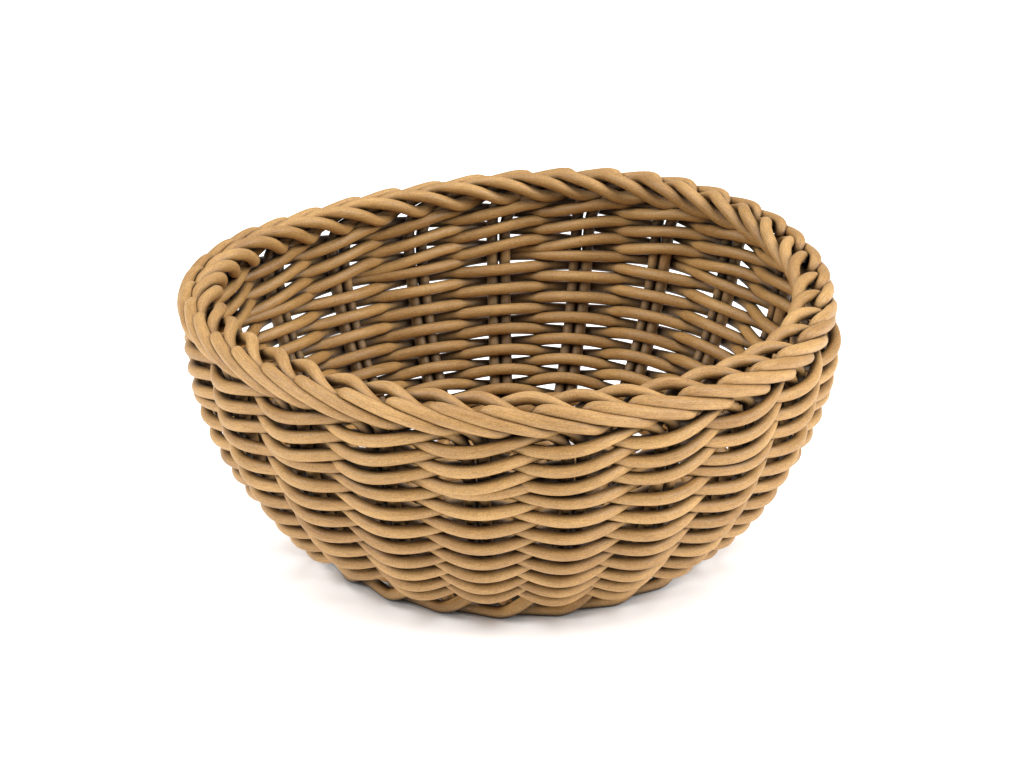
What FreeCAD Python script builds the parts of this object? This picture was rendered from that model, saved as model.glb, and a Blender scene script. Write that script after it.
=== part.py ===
"""Round woven bread basket: a spiral of plain weave on 21 pairs of upright rods, and a rolled border.

The origin is the centre of the circle that the foot stands on, +Z is up, and sizes are in
millimetres. Angles run anticlockwise from +X, seen from above.
"""
import FreeCAD, Part
import math
import os

from FreeCAD import Vector

# Driving dimensions.
STRAND = 3.8                   # diameter of every rod and weaver
PAIRS = 21                     # pairs of upright rods, and spokes of the base
FIRST_PAIR = 92.57             # degrees, where the first pair stands
HEIGHT = 85.5                  # top of the border, before the rim's warp
WARP = 4.6                     # how far the rim rises at the back right and drops at the back left

# The wall is part of a big circle, turned about the basket's axis.
BELLY_HEIGHT = 78.0            # where the wall stands upright, just under the border
WALL_RADIUS = 90.1             # radius of the wall's curve, at the middle of the rods
WALL_OFFSET = 4.7              # from the basket's axis to the centre of that curve

# The weaving, as distances down the wall's curve from the belly line.
TOP_ROUNDS = 3                 # two twined strands each
TOP_ROUND_START = 5.4
TOP_ROUND_STEP = 6.3
WEAVERS = 8                    # lengths of the spiral weaver, end to end
WEAVER_TURNS = 2               # times that each goes round the basket
WEAVER_BOTTOM = 75.6           # where the spiral starts
ROW_STEP = 3.4                 # how far it climbs in each turn
START_PAIR = 11                # pairs after the first one, where all the lengths meet

# The base.
FOOT_RADIUS = 55.2             # circle of the foot round, at the middle of the rods
FOOT_FLAT = 0.25               # depth worn flat on the underside of the foot
DOME = 3.0                     # how far the middle of the base stands higher than its edge
BASE_ROUND_RADII = (24.6, 31.4, 38.2, 46.6)
STICKS_EACH_WAY = 5
STICK_END = 51.5
STAKE_START = 43.0             # where the rods are pushed in beside the spokes
STAKE_TOP = 3.0                # down the wall's curve, where the rods lean over into the border
STAKE_RUNS = 4                 # straight runs that each rod's way up the wall is made of

# The border.
BORDER_RADIUS = 93.9           # circle of the border's middle

# Worked out from those.
RADIUS = STRAND / 2
CLEARANCE = 0.05               # between strands that touch
END_GAP = 0.8                  # from the middle of a group of rods to a strand's cut end
PITCH = 360 / PAIRS
ROD_PITCH = PITCH / 2          # the border has one stroke for each rod
BASE_LEVEL = 3 * RADIUS - FOOT_FLAT
CROSSING_HALF_WIDTH = STICKS_EACH_WAY * (STRAND + CLEARANCE) / 2
TWIST = 1.6                    # how far two twined strands pass above and below each other
ARC_SHARE = 0.45               # how much of each run the arcs at its ends take

# One rod's way through the border: how many rod pitches it has gone round clockwise, how far it
# lies outside the middle of the border, and how far above it.
BORDER_ROUTE = (
    (1.00, 1.0, -3.6),         # leans over, and climbs inside the border
    (1.50, 1.2, -0.6),
    (1.85, -0.4, 2.0),         # comes out on the ridge
    (2.25, -3.8, 1.9),         # goes over to the inner face
    (2.65, -5.1, 0.6),
    (3.15, -4.8, -1.9),        # down the inner face
    (3.60, -2.3, -4.6),        # turns under the border
    (3.95, 1.6, -5.1),
    (4.30, 4.4, -3.6),         # comes out on the outer face
    (4.80, 4.9, -1.8),         # up the outer face to the ridge
    (5.80, 3.8, 1.3),
    (6.15, 3.0, 2.0),
    (6.42, 1.2, 0.3),          # its end is tucked in
)
BORDER_HEIGHT = HEIGHT - RADIUS - max(upward for turned, outward, upward in BORDER_ROUTE)


def polar(radius, angle, height):
    """The point at a radius, an angle in degrees and a height."""
    turn = math.radians(angle)
    return Vector(radius * math.cos(turn), radius * math.sin(turn), height)


def beside(radius, angle, height, sideways):
    """The same, moved sideways along the circle by a distance."""
    turn = math.radians(angle)
    return polar(radius, angle, height) + Vector(-math.sin(turn), math.cos(turn), 0) * sideways


def warped(point):
    """Lift or lower a point with the rim's warp, which fades out down the wall."""
    turn = math.atan2(point.y, point.x)
    lift = WARP * math.sin(2 * turn) * (1 + math.sin(turn)) / 2
    return point + Vector(0, 0, lift * (1 - (1 - point.z / HEIGHT) ** 2))


def wall_point(down, outward, angle, sideways=0.0):
    """A point beside the wall: down its curve, off its surface, and round the basket."""
    tilt = down / WALL_RADIUS
    reach = WALL_RADIUS + outward
    radius = WALL_OFFSET + reach * math.cos(tilt)
    height = BELLY_HEIGHT - reach * math.sin(tilt)
    return warped(beside(radius, angle, height, sideways))


def base_height(radius):
    """The height of the middle of the base's sticks."""
    return BASE_LEVEL + DOME * max(0.0, 1 - (radius / STICK_END) ** 2)


def base_point(radius, upward, angle, sideways=0.0):
    """A point over or under the base."""
    return beside(radius, angle, base_height(radius) + upward, sideways)


def rounded_path(points):
    """Straight runs between the points, joined by arcs that touch both runs."""
    edges = []
    start = points[0]
    for before, corner, after in zip(points, points[1:], points[2:]):
        back = before - corner
        ahead = after - corner
        reach = ARC_SHARE * min(back.Length, ahead.Length)
        back.normalize()
        ahead.normalize()
        half_turn = (math.pi - back.getAngle(ahead)) / 2
        arc_radius = reach / math.tan(half_turn)
        inward = back + ahead
        inward.normalize()
        middle = corner + inward * (arc_radius / math.cos(half_turn) - arc_radius)
        edges.append(Part.LineSegment(start, corner + back * reach).toShape())
        edges.append(Part.Arc(corner + back * reach, middle, corner + ahead * reach).toShape())
        start = corner + ahead * reach
    edges.append(Part.LineSegment(start, points[-1]).toShape())
    return Part.Wire(edges)


def strand(points):
    """One round strand that follows the points, as a solid."""
    path = rounded_path(points)
    outline = Part.Circle(points[0], points[1] - points[0], RADIUS)
    return path.makePipeShell([Part.Wire([outline.toShape()])], True, True)


def corner_amplitude(run, ring_turn):
    """How far off the rods a corner lies, so that the arc inside it just clears them."""
    wanted = STRAND + CLEARANCE
    amplitude = wanted
    for _ in range(8):
        half_turn = math.atan2(amplitude, run) + ring_turn
        amplitude = wanted + ARC_SHARE * run * math.tan(half_turn / 2)
    return amplitude


def twined_round(groups, first_group, run, ring_turn, place):
    """Two strands twisted round each other, with a group of rods in each twist.

    place(off, along, angle) gives the point at a distance off the rods, a distance along them
    and an angle. Each strand is outside one group and inside the next. Where the two cross
    between groups, the one on its way in is above the one on its way out. The ends meet behind
    the rods: both strands start and end on the inside.
    """
    outside = corner_amplitude(run, ring_turn)
    inside = corner_amplitude(run, -ring_turn)
    end_gap = math.degrees(END_GAP / run * math.pi / (2 * groups))
    odd = groups % 2
    strands = []
    for first, count in ((0, groups + odd), (1, groups - odd)):
        points = []
        for step in range(2 * count + 1):
            phase = step * math.pi / 2
            off = -math.cos(phase)
            off *= outside if off > 0 else inside
            along = -TWIST * math.sin(phase)
            angle = first_group + (2 * first + step) * 180 / groups
            if step == 0 or step == 2 * count:
                off = -(STRAND + CLEARANCE)
                angle += end_gap if step == 0 else -end_gap
            points.append(place(off, along, angle))
        strands.append(strand(points))
    return strands


def row_amplitudes(run, ring_turn):
    """The same for a strand whose corners are at the pairs: how far outside, and how far inside."""
    wanted = STRAND + CLEARANCE
    outside = wanted
    inside = wanted
    for _ in range(12):
        slope = math.atan2(outside + inside, run)
        reach = ARC_SHARE * run / math.cos(slope)
        outside = wanted + reach * math.tan((slope + ring_turn) / 2)
        inside = wanted + reach * math.tan((slope - ring_turn) / 2)
    return outside, inside


def weaver(number):
    """One length of the spiral weaver: inside one pair, outside the next. It ends on the inside."""
    steps = WEAVER_TURNS * PAIRS
    start_down = WEAVER_BOTTOM - number * WEAVER_TURNS * ROW_STEP
    half_step = math.radians(PITCH / 2)
    run = 2 * wall_point(start_down - ROW_STEP, 0, 0).x * math.sin(half_step)
    outside, inside = row_amplitudes(run, half_step)
    points = []
    for step in range(steps + 1):
        angle = FIRST_PAIR + (START_PAIR + step) * PITCH
        off = outside if step % 2 else -inside
        if step == 0 or step == steps:
            off = -(STRAND + CLEARANCE)
            end_gap = math.degrees(CLEARANCE / run) * PITCH / 2
            angle += end_gap if step == 0 else -end_gap
        points.append(wall_point(start_down - step * ROW_STEP / PAIRS, off, angle))
    return strand(points)


def twined_wall_round(down):
    """One round of twining on the wall."""
    radius = wall_point(down, 0, 0).x
    half_step = math.radians(PITCH / 2)
    return twined_round(PAIRS, FIRST_PAIR, radius * half_step, half_step / 2,
                        lambda off, along, angle: wall_point(down - along, off, angle))


def base_round(radius):
    """One round of twining on the base, over and under the spokes."""
    half_step = math.radians(PITCH / 2)
    return twined_round(PAIRS, FIRST_PAIR, radius * half_step, 0,
                        lambda off, along, angle: base_point(radius - along, -off, angle))


def foot_round():
    """The round that the basket stands on, worn flat on its underside."""
    floor = Part.makeBox(4 * FOOT_RADIUS, 4 * FOOT_RADIUS, STRAND)
    floor.translate(Vector(-2 * FOOT_RADIUS, -2 * FOOT_RADIUS, -STRAND))
    return [piece.cut(floor).Solids[0] for piece in base_round(FOOT_RADIUS)]


def square_loop(height, corner):
    """One strand round the crossed sticks: at a height on two sides, and as far below on the others.

    It takes each corner by the way of the points in corner. Its ends meet half way along a side.
    """
    side = CROSSING_HALF_WIDTH + RADIUS + CLEARANCE
    points = []
    for quarter in range(4):
        level = height if quarter % 2 == 0 else -height
        turn = FreeCAD.Rotation(Vector(0, 0, 1), 90 * quarter)
        straight = [Vector(side, -CROSSING_HALF_WIDTH, level), Vector(side, CROSSING_HALF_WIDTH, level)]
        points += [turn.multVec(point) for point in straight + corner]
    start = Vector(side, END_GAP, height)
    end = Vector(side, -END_GAP, height)
    loop = [start] + points[1:] + [points[0], end]
    return strand([point + Vector(0, 0, BASE_LEVEL + DOME) for point in loop])


def binding():
    """Two strands tied round the crossed sticks: each over one set of sticks and under the other."""
    clear = CROSSING_HALF_WIDTH + 3 * RADIUS
    outer_corner = [Vector(clear, clear, 0)]
    return [square_loop(RADIUS, []), square_loop(-3 * RADIUS, outer_corner)]


def stake(pair_angle, side):
    """One upright rod: out along the base, up the wall and through the border."""
    spread = side * (STRAND + CLEARANCE)
    together = side * (RADIUS + CLEARANCE)
    points = [
        base_point(STAKE_START, 0, pair_angle, spread),
        base_point(STICK_END, 0, pair_angle, spread),
        base_point(FOOT_RADIUS + STRAND, 0, pair_angle, together),
    ]
    for run in range(STAKE_RUNS + 1):
        down = WEAVER_BOTTOM + (STAKE_TOP - WEAVER_BOTTOM) * run / STAKE_RUNS
        points.append(wall_point(down, 0, pair_angle, together))
    slot = pair_angle + side * ROD_PITCH / 2
    for turned, outward, upward in BORDER_ROUTE:
        angle = slot - turned * ROD_PITCH
        points.append(warped(polar(BORDER_RADIUS + outward, angle, BORDER_HEIGHT + upward)))
    return strand(points)


def base_stick(offset, first_end, second_end, along_x, layer):
    """One stick across the base: straight in the middle, its ends spread out like a fan."""
    reach = CROSSING_HALF_WIDTH + RADIUS
    height = BASE_LEVEL + DOME + layer * (RADIUS + CLEARANCE)
    middle = [Vector(reach, offset, height), Vector(-reach, offset, height)]
    if not along_x:
        middle = [Vector(-point.y, point.x, height) for point in middle]
    spread = BASE_ROUND_RADII[0]
    return strand([
        base_point(STICK_END, 0, first_end),
        base_point(spread, 0, first_end),
        middle[0],
        middle[1],
        base_point(spread, 0, second_end),
        base_point(STICK_END, 0, second_end),
    ])


def base_sticks(along_x):
    """Five sticks side by side; the two sets cross, one over the other."""
    layer = -1 if along_x else 1
    half_way = STICKS_EACH_WAY // 2
    near = FIRST_PAIR - STICKS_EACH_WAY * PITCH if along_x else FIRST_PAIR
    far = near + 2 * STICKS_EACH_WAY * PITCH
    sticks = []
    for index in range(-half_way, half_way + 1):
        offset = index * (STRAND + CLEARANCE)
        sticks.append(base_stick(offset, near + index * PITCH, far - index * PITCH,
                                 along_x, layer))
    return sticks


def odd_stick():
    """The half stick that makes the number of spokes odd."""
    angle = FIRST_PAIR - (3 * STICKS_EACH_WAY // 2 + 1) * PITCH
    return [strand([
        base_point(STICK_END, 0, angle),
        base_point(BASE_ROUND_RADII[1], 0, angle),
        base_point(BASE_ROUND_RADII[0] - STRAND, 0, angle),
    ])]


def nodes():
    """Every node of the basket: its name and its solids."""
    yield "base_sticks_lower", base_sticks(True)
    yield "base_sticks_upper", base_sticks(False)
    yield "base_stick_odd", odd_stick()
    yield "base_binding", binding()
    for number, radius in enumerate(BASE_ROUND_RADII, 1):
        yield f"base_round_{number}", base_round(radius)
    for letter, piece in zip("ab", foot_round()):
        yield f"foot_round_{letter}", [piece]
    for number in range(WEAVERS):
        yield f"wall_weaver_{number + 1}", [weaver(number)]
    for number in range(1, TOP_ROUNDS + 1):
        down = TOP_ROUND_START + TOP_ROUND_STEP * (TOP_ROUNDS - number)
        for letter, piece in zip("ab", twined_wall_round(down)):
            yield f"top_round_{number}_{letter}", [piece]
    for number in range(PAIRS):
        angle = FIRST_PAIR + number * PITCH
        yield f"stake_pair_{number + 1:02d}", [stake(angle, -1), stake(angle, 1)]


def main():
    os.makedirs("parts", exist_ok=True)
    for name, solids in nodes():
        shape = solids[0] if len(solids) == 1 else Part.makeCompound(solids)
        box = shape.optimalBoundingBox()
        print(name, len(solids), shape.isValid(), round(shape.Volume, 1),
              round(box.ZMin, 2), round(box.ZMax, 2))
        shape.exportStep(f"parts/{name}.step")


main()
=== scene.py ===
"""Bread basket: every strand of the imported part, drawn again as a smooth round cane.

Routes are worked out in millimetres, in the frame of the part, and turned into metres when a
mesh is made. Angles run anticlockwise from +X, seen from above.
"""
import itertools
import math

import bpy
import numpy as np
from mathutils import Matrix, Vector


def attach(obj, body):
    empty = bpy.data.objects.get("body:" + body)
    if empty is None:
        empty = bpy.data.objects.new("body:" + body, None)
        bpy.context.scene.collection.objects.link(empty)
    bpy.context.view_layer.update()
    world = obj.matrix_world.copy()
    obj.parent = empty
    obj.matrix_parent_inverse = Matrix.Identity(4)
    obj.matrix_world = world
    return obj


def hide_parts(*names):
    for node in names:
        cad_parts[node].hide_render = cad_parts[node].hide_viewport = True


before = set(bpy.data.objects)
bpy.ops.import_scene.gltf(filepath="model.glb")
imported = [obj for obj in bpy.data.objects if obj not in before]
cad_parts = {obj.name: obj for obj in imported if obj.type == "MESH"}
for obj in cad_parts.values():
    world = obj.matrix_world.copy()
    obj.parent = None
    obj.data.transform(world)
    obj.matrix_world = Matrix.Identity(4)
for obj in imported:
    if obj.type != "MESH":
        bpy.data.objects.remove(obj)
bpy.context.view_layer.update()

MM = 0.001
SEED = 7

# The basket's driving sizes. Its rounds, rows and foot lie a little off the part's, because they
# are made to look like the real basket's.
STRAND = 3.8                   # diameter of every rod and weaver
PAIRS = 21                     # pairs of upright rods
FIRST_PAIR = 92.57             # degrees
HEIGHT = 85.5                  # top of the border, before the rim's warp
WARP = 4.6                     # the rim rises at the back right and drops at the back left
BELLY_HEIGHT = 78.0            # where the wall is widest
WALL_RADIUS = 90.1             # of the arc that the wall's curve is
WALL_OFFSET = 4.7              # from the basket's axis to the centre of that arc
TOP_ROUNDS = 3                 # two twined strands each
TOP_ROUND_START = 6.0          # down the wall's curve, to the highest of them
TOP_ROUND_STEP = 5.95          # and between them
WEAVERS = 8                    # lengths of the spiral weaver, end to end
WEAVER_TURNS = 2               # that each length goes round
WEAVER_BOTTOM = 75.6           # down the wall's curve, where the spiral starts
ROW_STEP = 3.47                # how far the spiral climbs in each turn
START_PAIR = 11                # pairs after the first one, where all the lengths meet
FOOT_RADIUS = 58.7             # to the middle of the foot's two strands
FOOT_FLAT = 0.25               # how far the foot's strands reach under the table's height
DOME = 3.0                     # how far the middle of the base is raised
BASE_ROUND_RADII = (24.6, 31.4, 38.2, 46.6)
STICKS_EACH_WAY = 5            # base sticks
STICK_END = 51.5               # radius at which the base sticks end
STAKE_START = 43.0             # radius at which the rods start, beside the base sticks
STAKE_TOP = 3.0                # down the wall's curve, where the rods lean over into the border
BORDER_RADIUS = 93.9           # to the middle of the border
BORDER_HEIGHT = HEIGHT - 4.0   # of its middle

# Worked out from those.
RADIUS = STRAND / 2
PITCH = 360 / PAIRS
ROD_PITCH = PITCH / 2          # the border has one stroke for each rod
BASE_LEVEL = 3 * RADIUS - FOOT_FLAT    # of the rods, where they lie on the foot
CROSSING_HALF_WIDTH = STICKS_EACH_WAY * STRAND / 2

# How the strands lie.
TWIST = 1.6                    # how far two twisted strands pass above and below each other
TOP_SAG = 0.2                  # how much lower a top round runs for each millimetre outward
FOOT_TWIST = -1.7              # the foot is twisted the other way
FOOT_LOW = 0.2                 # the part of its wave at which a foot strand is down
FOOT_RISES = 0.55              # and at which it starts to rise again
ROD_OFFSET = 0.99 * RADIUS     # from the middle of a pair to each rod's middle, low on the wall
TOP_OFFSET = 1.15 * RADIUS     # and at its top
STICK_SPACING = 1.01 * STRAND  # between the base's sticks
LAYER_OFFSET = 1.02 * RADIUS   # how far the two sets of sticks lie above and below their middle
BINDING_CORNER = 0.5           # how far the inner binding cuts its corners
END_GAP = 0.8                  # left off each end of a twined strand, behind the middle of a pair
UNEVEN = 0.22                  # how far a stroke wanders at most from where it should lie
SQUEEZE = 2.2                  # how far the border is pushed in on the +X side
BORDER_UNEVEN = 0.08           # how late or early a border stroke is at most, in rod pitches

# One rod's way through the border: rod pitches gone round clockwise, outward from the middle of
# the border, upward from it.
BORDER_ROUTE = (
    (0.85, 0.9, -4.4),         # leans over, and climbs inside the border
    (1.25, 1.2, -2.8),
    (1.60, 1.2, -1.0),
    (1.85, 0.2, 1.0),          # comes out on the ridge
    (2.10, -2.0, 2.2),
    (2.35, -4.2, 2.5),         # goes over to the inner face
    (2.65, -5.3, 1.6),
    (2.95, -5.4, 0.0),         # down the inner face
    (3.22, -4.8, -2.0),
    (3.50, -3.2, -4.5),        # turns under the border
    (3.80, -0.6, -5.7),
    (4.05, 2.4, -5.5),
    (4.30, 4.5, -4.0),         # comes out on the outer face
    (4.70, 5.0, -2.6),
    (5.25, 4.7, -0.9),         # up the outer face to the ridge
    (5.70, 4.0, 0.5),
    (6.00, 3.3, 1.3),
    (6.18, 2.5, 1.2),
    (6.26, 1.7, 0.2),          # its end is tucked in
    (6.29, 1.2, -1.4),
)

# Meshes.
CURVE_STEPS = 24               # points worked out for each run of a route, before they are spaced
WALL_RUNS = 5                  # runs that each rod's way up the wall is made of
SIDES = 16                     # corners of a strand's cross-section
RING_STEP = 1.2                # between rings along a strand
END_BEVEL = 0.3                # worn edge of a strand's cut end
GRAIN_STEP = 1000.0            # from strand to strand in the grain, so that no two look alike

# Looks.
PAINTED_SHADE_REACH = 5.0 * MM             # how near a neighbour is for the painted shade, which darkens a strand's colour in the gaps between strands
GLOW = 0.6                     # painted light, the floor's glow, away from the basket
GLOW_EDGE = 1.4 * FOOT_RADIUS  # where it has its full strength

random = np.random.default_rng(SEED)


# ---------------------------------------------------------------- places on the basket

def polar(radius, angle, height):
    """The point at a radius, an angle in degrees and a height."""
    turn = math.radians(angle)
    return np.array([radius * math.cos(turn), radius * math.sin(turn), height])


def beside(radius, angle, height, sideways):
    """The same, moved sideways along the circle by a distance."""
    turn = math.radians(angle)
    return polar(radius, angle, height) + sideways * np.array([-math.sin(turn), math.cos(turn), 0])


def warped(point):
    """Lift or lower a point with the rim's warp, which fades out down the wall."""
    turn = math.atan2(point[1], point[0])
    lift = WARP * math.sin(2 * turn) * (1 + math.sin(turn)) / 2
    return point + np.array([0, 0, lift * (1 - (1 - point[2] / HEIGHT) ** 2)])


def wall_point(down, outward, angle, sideways=0.0):
    """A point beside the wall: down its curve, off its surface, and round the basket."""
    tilt = down / WALL_RADIUS
    reach = WALL_RADIUS + outward
    radius = WALL_OFFSET + reach * math.cos(tilt)
    height = BELLY_HEIGHT - reach * math.sin(tilt)
    return warped(beside(radius, angle, height, sideways))


def base_point(radius, upward, angle, sideways=0.0):
    """A point over or under the base, which is a shallow dome."""
    height = BASE_LEVEL + DOME * max(0.0, 1 - (radius / STICK_END) ** 2)
    return beside(radius, angle, height + upward, sideways)


# ---------------------------------------------------------------- strands

def spline(points):
    """A smooth curve near the points, through the first and the last, as evenly spaced points."""
    points = np.array(points, float)
    before = 2 * points[0] - points[1]
    after = 2 * points[-1] - points[-2]
    held = np.vstack([before, points, after])
    curve = []
    for a, b, c, d in zip(held, held[1:], held[2:], held[3:]):
        for t in np.linspace(0, 1, CURVE_STEPS, endpoint=False):
            curve.append(((1 - t) ** 3 * a + (3 * t ** 3 - 6 * t ** 2 + 4) * b
                          + (-3 * t ** 3 + 3 * t ** 2 + 3 * t + 1) * c + t ** 3 * d) / 6)
    curve.append(points[-1])
    return evenly_spaced(np.array(curve))


def evenly_spaced(curve):
    """The same curve as points a ring step apart."""
    lengths = np.linalg.norm(np.diff(curve, axis=0), axis=1)
    gone = np.concatenate([[0], np.cumsum(lengths)])
    stops = np.linspace(0, gone[-1], max(4, round(gone[-1] / RING_STEP) + 1))
    return np.stack([np.interp(stops, gone, curve[:, axis]) for axis in range(3)], axis=1)


def carried_frames(path):
    """Two directions across the path at each of its points, turned along it without twisting."""
    tangents = np.gradient(path, axis=0)
    tangents /= np.linalg.norm(tangents, axis=1, keepdims=True)
    across = np.cross(tangents[0], [0.0, 0.0, 1.0])
    if np.linalg.norm(across) < 0.1:
        across = np.cross(tangents[0], [1.0, 0.0, 0.0])
    firsts = []
    for tangent in tangents:
        across = across - tangent * across.dot(tangent)
        across /= np.linalg.norm(across)
        firsts.append(across)
    firsts = np.array(firsts)
    return tangents, firsts, np.cross(tangents, firsts)


def tube(path, number):
    """Vertices, faces and grain of one strand. The grain follows the strand: along it, and across."""
    tangents, firsts, seconds = carried_frames(path)
    gone = np.concatenate([[0], np.cumsum(np.linalg.norm(np.diff(path, axis=0), axis=1))])
    turns = 2 * math.pi * np.arange(SIDES) / SIDES

    # One more, smaller ring past each end makes its worn edge.
    centres = [path[0] - tangents[0] * END_BEVEL, *path, path[-1] + tangents[-1] * END_BEVEL]
    sizes = [RADIUS - END_BEVEL] + [RADIUS] * len(path) + [RADIUS - END_BEVEL]
    frames = [0, *range(len(path)), len(path) - 1]
    vertices = []
    grain = []
    for centre, size, index in zip(centres, sizes, frames):
        ring = (centre + size * (np.outer(np.cos(turns), firsts[index])
                                 + np.outer(np.sin(turns), seconds[index])))
        vertices.append(ring)
        grain.append(np.stack([np.full(SIDES, gone[index] + GRAIN_STEP * number),
                               size * np.cos(turns), size * np.sin(turns)], axis=1))

    count = len(centres)
    faces = []
    for ring in range(count - 1):
        for side in range(SIDES):
            following = (side + 1) % SIDES
            faces.append((ring * SIDES + side, ring * SIDES + following,
                          (ring + 1) * SIDES + following, (ring + 1) * SIDES + side))
    faces.append(tuple(reversed(range(SIDES))))
    faces.append(tuple(range((count - 1) * SIDES, count * SIDES)))
    return np.concatenate(vertices), faces, np.concatenate(grain)


strand_numbers = itertools.count(1)


def piece(name, paths, material, slot, *nodes):
    """One object of one or more strands, standing for the CAD nodes named last."""
    vertices = []
    faces = []
    grain = []
    tones = []
    for path in paths:
        new_vertices, new_faces, new_grain = tube(path, next(strand_numbers))
        start = sum(len(block) for block in vertices)
        faces += [tuple(start + corner for corner in face) for face in new_faces]
        vertices.append(new_vertices)
        grain.append(new_grain)
        tones.append(np.full(len(new_vertices), random.uniform(0, 1)))
    mesh = bpy.data.meshes.new(name)
    mesh.from_pydata((np.concatenate(vertices) * MM).tolist(), [], faces)
    mesh.polygons.foreach_set("use_smooth", [True] * len(mesh.polygons))
    along = mesh.attributes.new("grain", "FLOAT_VECTOR", "POINT")
    along.data.foreach_set("vector", np.concatenate(grain).ravel().astype(np.float32))
    tone = mesh.attributes.new("tone", "FLOAT", "POINT")
    tone.data.foreach_set("value", np.concatenate(tones).astype(np.float32))
    mesh.update()
    made = bpy.data.objects.new(name, mesh)
    bpy.context.scene.collection.objects.link(made)
    made.data.materials.append(material)
    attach(made, "root")
    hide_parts(*nodes)


# ---------------------------------------------------------------- routes

def foot_wave(phase):
    """Down quickly behind the other strand, along under the rods, and slowly up in front."""
    part = phase / (2 * math.pi) % 1
    if part < FOOT_LOW:
        return math.cos(math.pi * part / FOOT_LOW)
    if part < FOOT_RISES:
        return -1.0
    return -math.cos(math.pi * (part - FOOT_RISES) / (1 - FOOT_RISES))


def twined_paths(start, place, twist=TWIST, wave=math.cos):
    """Two strands twisted round each other, with a pair of rods in each twist.

    Each starts and ends on the inside, which takes an even number of steps from pair to pair.
    """
    paths = []
    for first, count in ((0, PAIRS + PAIRS % 2), (1, PAIRS - PAIRS % 2)):
        route = []
        for turned in np.linspace(0, count, CURVE_STEPS * count + 1):
            phase = math.pi * turned
            off = -STRAND * wave(phase)
            along = -twist * math.sin(phase)
            angle = start + (first + turned) * PITCH
            route.append(place(off, along, angle))
        paths.append(evenly_spaced(trimmed(np.array(route), END_GAP)))
    return paths


def trimmed(route, gap):
    """The route without its first and last bit of a length."""
    lengths = np.linalg.norm(np.diff(route, axis=0), axis=1)
    gone = np.concatenate([[0], np.cumsum(lengths)])
    keep = (gone > gap) & (gone < gone[-1] - gap)
    return route[keep]


def wander(steps):
    """How far a strand strays at any step: a new random amount at each, and smooth between."""
    amounts = random.uniform(-UNEVEN, UNEVEN, steps)
    amounts = np.append(amounts, amounts[0])

    def stray(turned):
        step = min(int(turned), steps - 1)
        share = (1 - math.cos(math.pi * (turned - step))) / 2
        return amounts[step] + share * (amounts[step + 1] - amounts[step])

    return stray


def weaver_path(number):
    """One length of the spiral weaver: inside one pair, outside the next. It ends on the inside."""
    steps = WEAVER_TURNS * PAIRS
    start_down = WEAVER_BOTTOM - number * WEAVER_TURNS * ROW_STEP
    stray = wander(steps)
    route = []
    for turned in np.linspace(0, steps, CURVE_STEPS * steps + 1):
        off = -STRAND * math.cos(math.pi * turned)
        down = start_down - turned * ROW_STEP / PAIRS + stray(turned)
        angle = FIRST_PAIR + (START_PAIR + turned) * PITCH
        route.append(wall_point(down, off, angle))
    return evenly_spaced(trimmed(np.array(route), END_BEVEL))


def top_round_paths(down):
    """The two strands of one twined round on the wall."""
    stray = wander(PAIRS)

    def place(off, along, angle):
        leaned = down - along + TOP_SAG * off + stray(angle % 360 / PITCH)
        return wall_point(leaned, off, angle)

    return twined_paths(FIRST_PAIR + START_PAIR * PITCH, place)


def base_round_paths(radius):
    """The two strands of one round on the base."""
    return twined_paths(FIRST_PAIR,
                        lambda off, along, angle: base_point(radius - along, -off, angle))


def foot_round_paths():
    """The two strands of the foot, which lie under the rods for most of their length."""
    return twined_paths(FIRST_PAIR,
                        lambda off, along, angle: base_point(FOOT_RADIUS - along, -off, angle),
                        FOOT_TWIST, foot_wave)


def rod_path(pair_angle, side):
    """One upright rod: out along the base, up the wall and through the border."""
    together = side * ROD_OFFSET
    apart = side * TOP_OFFSET
    points = [
        base_point(STAKE_START, 0, pair_angle, side * STRAND),
        base_point(STICK_END, 0, pair_angle, side * STRAND),
        base_point(FOOT_RADIUS - RADIUS, 0, pair_angle, together),
    ]
    for down in np.linspace(WEAVER_BOTTOM, STAKE_TOP, WALL_RUNS + 1):
        spread = np.interp(down, (STAKE_TOP, WEAVER_BOTTOM / 2), (apart, together))
        points.append(wall_point(down, 0, pair_angle, spread))
    rod_angle = pair_angle + side * ROD_PITCH / 2
    late = random.uniform(-BORDER_UNEVEN, BORDER_UNEVEN)
    out, up = random.uniform(-UNEVEN, UNEVEN, 2)
    for turned, outward, upward in BORDER_ROUTE:
        angle = rod_angle - (turned + late) * ROD_PITCH
        pushed_in = SQUEEZE * max(0, math.cos(math.radians(angle))) ** 3
        points.append(warped(polar(BORDER_RADIUS - pushed_in + outward + out, angle,
                                   BORDER_HEIGHT + upward + up)))
    return spline(points)


def stick_path(offset, first_end, second_end, along_x, layer):
    """One stick across the base: straight in the middle, its ends spread out like a fan."""
    reach = CROSSING_HALF_WIDTH + RADIUS
    height = BASE_LEVEL + DOME + layer * LAYER_OFFSET
    middle = [np.array([reach, offset, height]), np.array([-reach, offset, height])]
    if not along_x:
        middle = [np.array([-point[1], point[0], height]) for point in middle]
    spread = BASE_ROUND_RADII[0]
    return spline([
        base_point(STICK_END, 0, first_end),
        base_point((spread + STICK_END) / 2, 0, first_end),
        base_point(spread, 0, first_end),
        middle[0],
        (middle[0] + middle[1]) / 2,
        middle[1],
        base_point(spread, 0, second_end),
        base_point((spread + STICK_END) / 2, 0, second_end),
        base_point(STICK_END, 0, second_end),
    ])


def stick_paths(along_x):
    """Five sticks side by side."""
    layer = -1 if along_x else 1
    half_way = STICKS_EACH_WAY // 2
    near = FIRST_PAIR - STICKS_EACH_WAY * PITCH if along_x else FIRST_PAIR
    far = near + 2 * STICKS_EACH_WAY * PITCH
    return [stick_path(index * STICK_SPACING, near + index * PITCH, far - index * PITCH,
                       along_x, layer)
            for index in range(-half_way, half_way + 1)]


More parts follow.
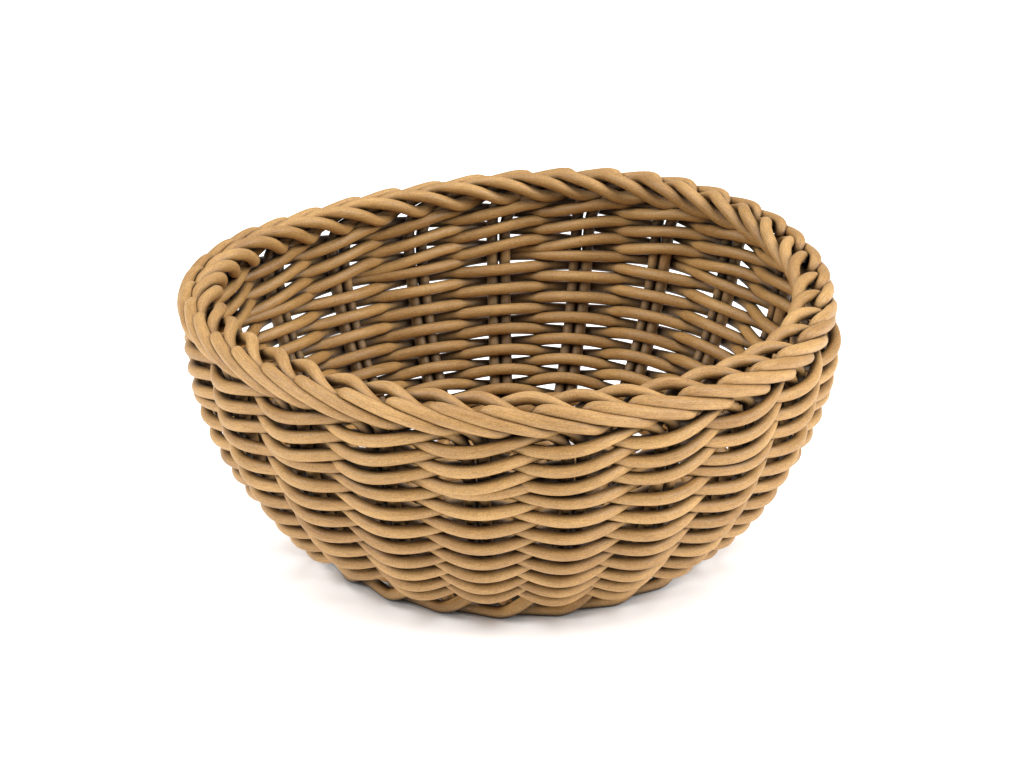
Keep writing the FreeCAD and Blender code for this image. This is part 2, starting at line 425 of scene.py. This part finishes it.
def odd_stick_paths():
    """The half stick in the one place between the spokes that the crossed sticks leave free."""
    angle = FIRST_PAIR - (3 * STICKS_EACH_WAY // 2 + 1) * PITCH
    return [spline([base_point(STICK_END, 0, angle),
                    base_point(BASE_ROUND_RADII[1], 0, angle),
                    base_point(BASE_ROUND_RADII[0] - STRAND, 0, angle)])]


def binding_paths():
    """Two strands tied round the crossed sticks: each over one set of sticks and under the other."""
    side = CROSSING_HALF_WIDTH + RADIUS
    clear = CROSSING_HALF_WIDTH + 3 * RADIUS
    paths = []
    for height, corner in ((RADIUS, side - BINDING_CORNER), (-3 * RADIUS, clear)):
        points = []
        for quarter in range(4):
            level = height if quarter % 2 == 0 else -height
            turn = math.radians(90 * quarter)
            for x, y, z in ((side, -CROSSING_HALF_WIDTH, level), (side, 0, level),
                            (side, CROSSING_HALF_WIDTH, level), (corner, corner, 0)):
                points.append([x * math.cos(turn) - y * math.sin(turn),
                               x * math.sin(turn) + y * math.cos(turn),
                               BASE_LEVEL + DOME + z])
        loop = points[1:] + points[:1] + [points[1]]
        paths.append(trimmed(spline(loop), END_GAP))
    return paths


# ---------------------------------------------------------------- material

def node(tree, kind, **inputs):
    """A new node with some of its inputs set."""
    made = tree.nodes.new(kind)
    for key, value in inputs.items():
        made.inputs[key.replace("_", " ")].default_value = value
    return made


def mesh_value(tree, name):
    """A value that every strand's mesh carries."""
    made = tree.nodes.new("ShaderNodeAttribute")
    made.attribute_name = name
    return made


def strand_noise(tree, grain, along, across, detail, roughness):
    """Noise that follows the strand, with its scales along and across it, for each millimetre."""
    scaled = tree.nodes.new("ShaderNodeVectorMath")
    scaled.operation = "MULTIPLY"
    scaled.inputs[1].default_value = (along, across, across)
    tree.links.new(grain.outputs["Vector"], scaled.inputs[0])
    made = node(tree, "ShaderNodeTexNoise", Scale=1.0, Detail=detail, Roughness=roughness)
    tree.links.new(scaled.outputs["Vector"], made.inputs["Vector"])
    return made.outputs["Fac"]


def blended(tree, first, second, share):
    """A value between two: the share is the second's."""
    made = tree.nodes.new("ShaderNodeMix")
    made.data_type = "FLOAT"
    made.inputs["Factor"].default_value = share
    tree.links.new(first, made.inputs[2])
    tree.links.new(second, made.inputs[3])
    return made.outputs[0]


def multiplied(tree, first, second, share):
    """The first colour darkened by the second, by a share of the full amount."""
    made = tree.nodes.new("ShaderNodeMix")
    made.data_type = "RGBA"
    made.blend_type = "MULTIPLY"
    made.inputs["Factor"].default_value = share
    tree.links.new(first, made.inputs[6])
    tree.links.new(second, made.inputs[7])
    return made.outputs[2]


def coloured(tree, value, low, low_colour, high, high_colour):
    """The colour for a value: one up to low, another from high, and between them in between."""
    made = tree.nodes.new("ShaderNodeValToRGB")
    for end, position, colour in zip(made.color_ramp.elements, (low, high),
                                     (low_colour, high_colour)):
        end.position = position
        end.color = (*colour, 1)
    tree.links.new(value, made.inputs["Fac"])
    return made.outputs["Color"]


def polyrattan(name, dark, light):
    """Extruded plastic cane: fine grain along the strand, dark flecks, a soft sheen, and painted
    shade in the gaps between strands.
    """
    material = bpy.data.materials.new(name)
    material.use_nodes = True
    tree = material.node_tree
    tree.nodes.clear()
    link = tree.links.new
    white = (1, 1, 1)

    grain = mesh_value(tree, "grain")
    tone = mesh_value(tree, "tone")
    streaks = strand_noise(tree, grain, 0.25, 2.2, 5.0, 0.6)
    patches = strand_noise(tree, grain, 0.06, 0.25, 3.0, 0.5)
    flecks = strand_noise(tree, grain, 2.2, 2.6, 2.0, 0.7)

    shade = blended(tree, blended(tree, streaks, patches, 0.5), tone.outputs["Fac"], 0.12)
    plain = coloured(tree, shade, 0.3, dark, 0.7, light)
    fleck_colour = coloured(tree, flecks, 0.36, (0.55, 0.52, 0.48), 0.56, white)
    flecked = multiplied(tree, plain, fleck_colour, 0.65)

    # Painted shade: the colour is darkened where other strands are near, in the gaps between strands,
    # where shadow falls.
    shade_occlusion = node(tree, "ShaderNodeAmbientOcclusion", Distance=PAINTED_SHADE_REACH)
    shade_occlusion.samples = 6
    painted_shade_colour = coloured(tree, shade_occlusion.outputs["AO"], 0.3, (0.03, 0.025, 0.022), 0.78, white)
    shaded = multiplied(tree, flecked, painted_shade_colour, 1.0)

    roughness = node(tree, "ShaderNodeMapRange", To_Min=0.4, To_Max=0.62)
    link(streaks, roughness.inputs["Value"])
    bump = node(tree, "ShaderNodeBump", Strength=0.5, Distance=0.2 * MM)
    link(blended(tree, streaks, flecks, 0.5), bump.inputs["Height"])

    surface = node(tree, "ShaderNodeBsdfPrincipled", Specular_IOR_Level=0.55)
    link(shaded, surface.inputs["Base Color"])
    link(roughness.outputs["Result"], surface.inputs["Roughness"])
    link(bump.outputs["Normal"], surface.inputs["Normal"])
    output = tree.nodes.new("ShaderNodeOutputMaterial")
    link(surface.outputs["BSDF"], output.inputs["Surface"])
    return material


# ---------------------------------------------------------------- the basket

def make_basket():
    """Every strand of the basket, each in the material of its kind of cane."""
    stake_cane = polyrattan("stake_cane", (0.31, 0.152, 0.04), (0.66, 0.39, 0.14))
    weaver_cane = polyrattan("weaver_cane", (0.30, 0.148, 0.038), (0.64, 0.375, 0.13))
    base_cane = polyrattan("base_cane", (0.28, 0.14, 0.037), (0.60, 0.35, 0.12))

    piece("base_sticks_lower_strands", stick_paths(True), base_cane, "base", "base_sticks_lower")
    piece("base_sticks_upper_strands", stick_paths(False), base_cane, "base", "base_sticks_upper")
    piece("base_stick_odd_strand", odd_stick_paths(), base_cane, "base", "base_stick_odd")
    piece("base_binding_strands", binding_paths(), base_cane, "base", "base_binding")
    for number, radius in enumerate(BASE_ROUND_RADII, 1):
        piece(f"base_round_{number}_strands", base_round_paths(radius), base_cane, "base",
              f"base_round_{number}")
    for letter, path in zip("ab", foot_round_paths()):
        piece(f"foot_round_{letter}_strand", [path], weaver_cane, "weaver", f"foot_round_{letter}")
    for number in range(WEAVERS):
        piece(f"wall_weaver_{number + 1}_strand", [weaver_path(number)], weaver_cane, "weaver",
              f"wall_weaver_{number + 1}")
    for number in range(1, TOP_ROUNDS + 1):
        down = TOP_ROUND_START + TOP_ROUND_STEP * (TOP_ROUNDS - number)
        for letter, path in zip("ab", top_round_paths(down)):
            piece(f"top_round_{number}_{letter}_strand", [path], weaver_cane, "weaver",
                  f"top_round_{number}_{letter}")
    for number in range(PAIRS):
        angle = FIRST_PAIR + number * PITCH
        name = f"stake_pair_{number + 1:02d}"
        piece(f"{name}_rods", [rod_path(angle, -1), rod_path(angle, 1)], stake_cane, "stake", name)


# ---------------------------------------------------------------- studio

def floor_paint():
    """Pale paint that glows softly from below, a painted light, which fades out near the basket as a
    painted shadow.
    """
    paint = bpy.data.materials.new("floor_paint")
    paint.use_nodes = True
    tree = paint.node_tree
    surface = tree.nodes["Principled BSDF"]
    surface.inputs["Base Color"].default_value = (0.9, 0.9, 0.9, 1)
    surface.inputs["Roughness"].default_value = 0.3
    surface.inputs["Emission Color"].default_value = (1, 1, 1, 1)

    place = tree.nodes.new("ShaderNodeTexCoord")
    distance = tree.nodes.new("ShaderNodeVectorMath")
    distance.operation = "LENGTH"
    tree.links.new(place.outputs["Object"], distance.inputs[0])
    # Painted shadow under the basket: the glow is nil within the foot's radius and grows to its full
    # strength further out.
    glow = node(tree, "ShaderNodeMapRange", From_Min=FOOT_RADIUS * MM,
                From_Max=GLOW_EDGE * MM, To_Max=GLOW)
    tree.links.new(distance.outputs["Value"], glow.inputs["Value"])
    tree.links.new(glow.outputs["Result"], surface.inputs["Emission Strength"])
    return paint


def make_floor():
    """A wide floor, with its size in metres."""
    mesh = bpy.data.meshes.new("floor")
    reach = 6.0
    corners = [(-reach, -reach, 0), (reach, -reach, 0), (reach, reach, 0), (-reach, reach, 0)]
    mesh.from_pydata(corners, [], [(0, 1, 2, 3)])
    floor = bpy.data.objects.new("floor", mesh)
    bpy.context.scene.collection.objects.link(floor)
    floor.data.materials.append(floor_paint())


def make_light(name, place, size, power):
    """A square soft light that faces the basket, with its place and size in metres."""
    data = bpy.data.lights.new(name, "AREA")
    data.size = size
    data.energy = power
    light = bpy.data.objects.new(name, data)
    bpy.context.scene.collection.objects.link(light)
    light.location = place
    aim = Vector((0, 0, HEIGHT / 2 * MM)) - light.location
    light.rotation_euler = aim.to_track_quat("-Z", "Y").to_euler()


def make_studio():
    """A pale floor, a white room and soft lights."""
    make_floor()
    world = bpy.data.worlds.new("room")
    bpy.context.scene.world = world
    world.use_nodes = True
    background = world.node_tree.nodes["Background"]
    background.inputs["Color"].default_value = (1, 1, 1, 1)
    background.inputs["Strength"].default_value = 0.5
    make_light("left_light", (-1.0, -0.3, 0.8), 0.7, 9.5)
    make_light("right_light", (1.0, -0.4, 0.75), 0.7, 13)
    make_light("top_light", (0.0, 0.1, 1.3), 0.8, 7)
    bpy.context.scene.view_settings.view_transform = "Standard"


def make_camera():
    """Looks at the basket from in front and above, as a product photograph does."""
    distance = 1090 * MM
    elevation = math.radians(25.45)
    data = bpy.data.cameras.new("camera")
    data.sensor_width = 36
    data.lens = 122.9
    camera = bpy.data.objects.new("camera", data)
    bpy.context.scene.collection.objects.link(camera)
    camera.location = (0, -distance * math.cos(elevation), distance * math.sin(elevation))
    looked_at = Vector((0.3 * MM, 0, 49.9 * MM))
    aim = looked_at - camera.location
    camera.rotation_euler = aim.to_track_quat("-Z", "Y").to_euler()
    bpy.context.scene.camera = camera


make_basket()
make_studio()
make_camera()
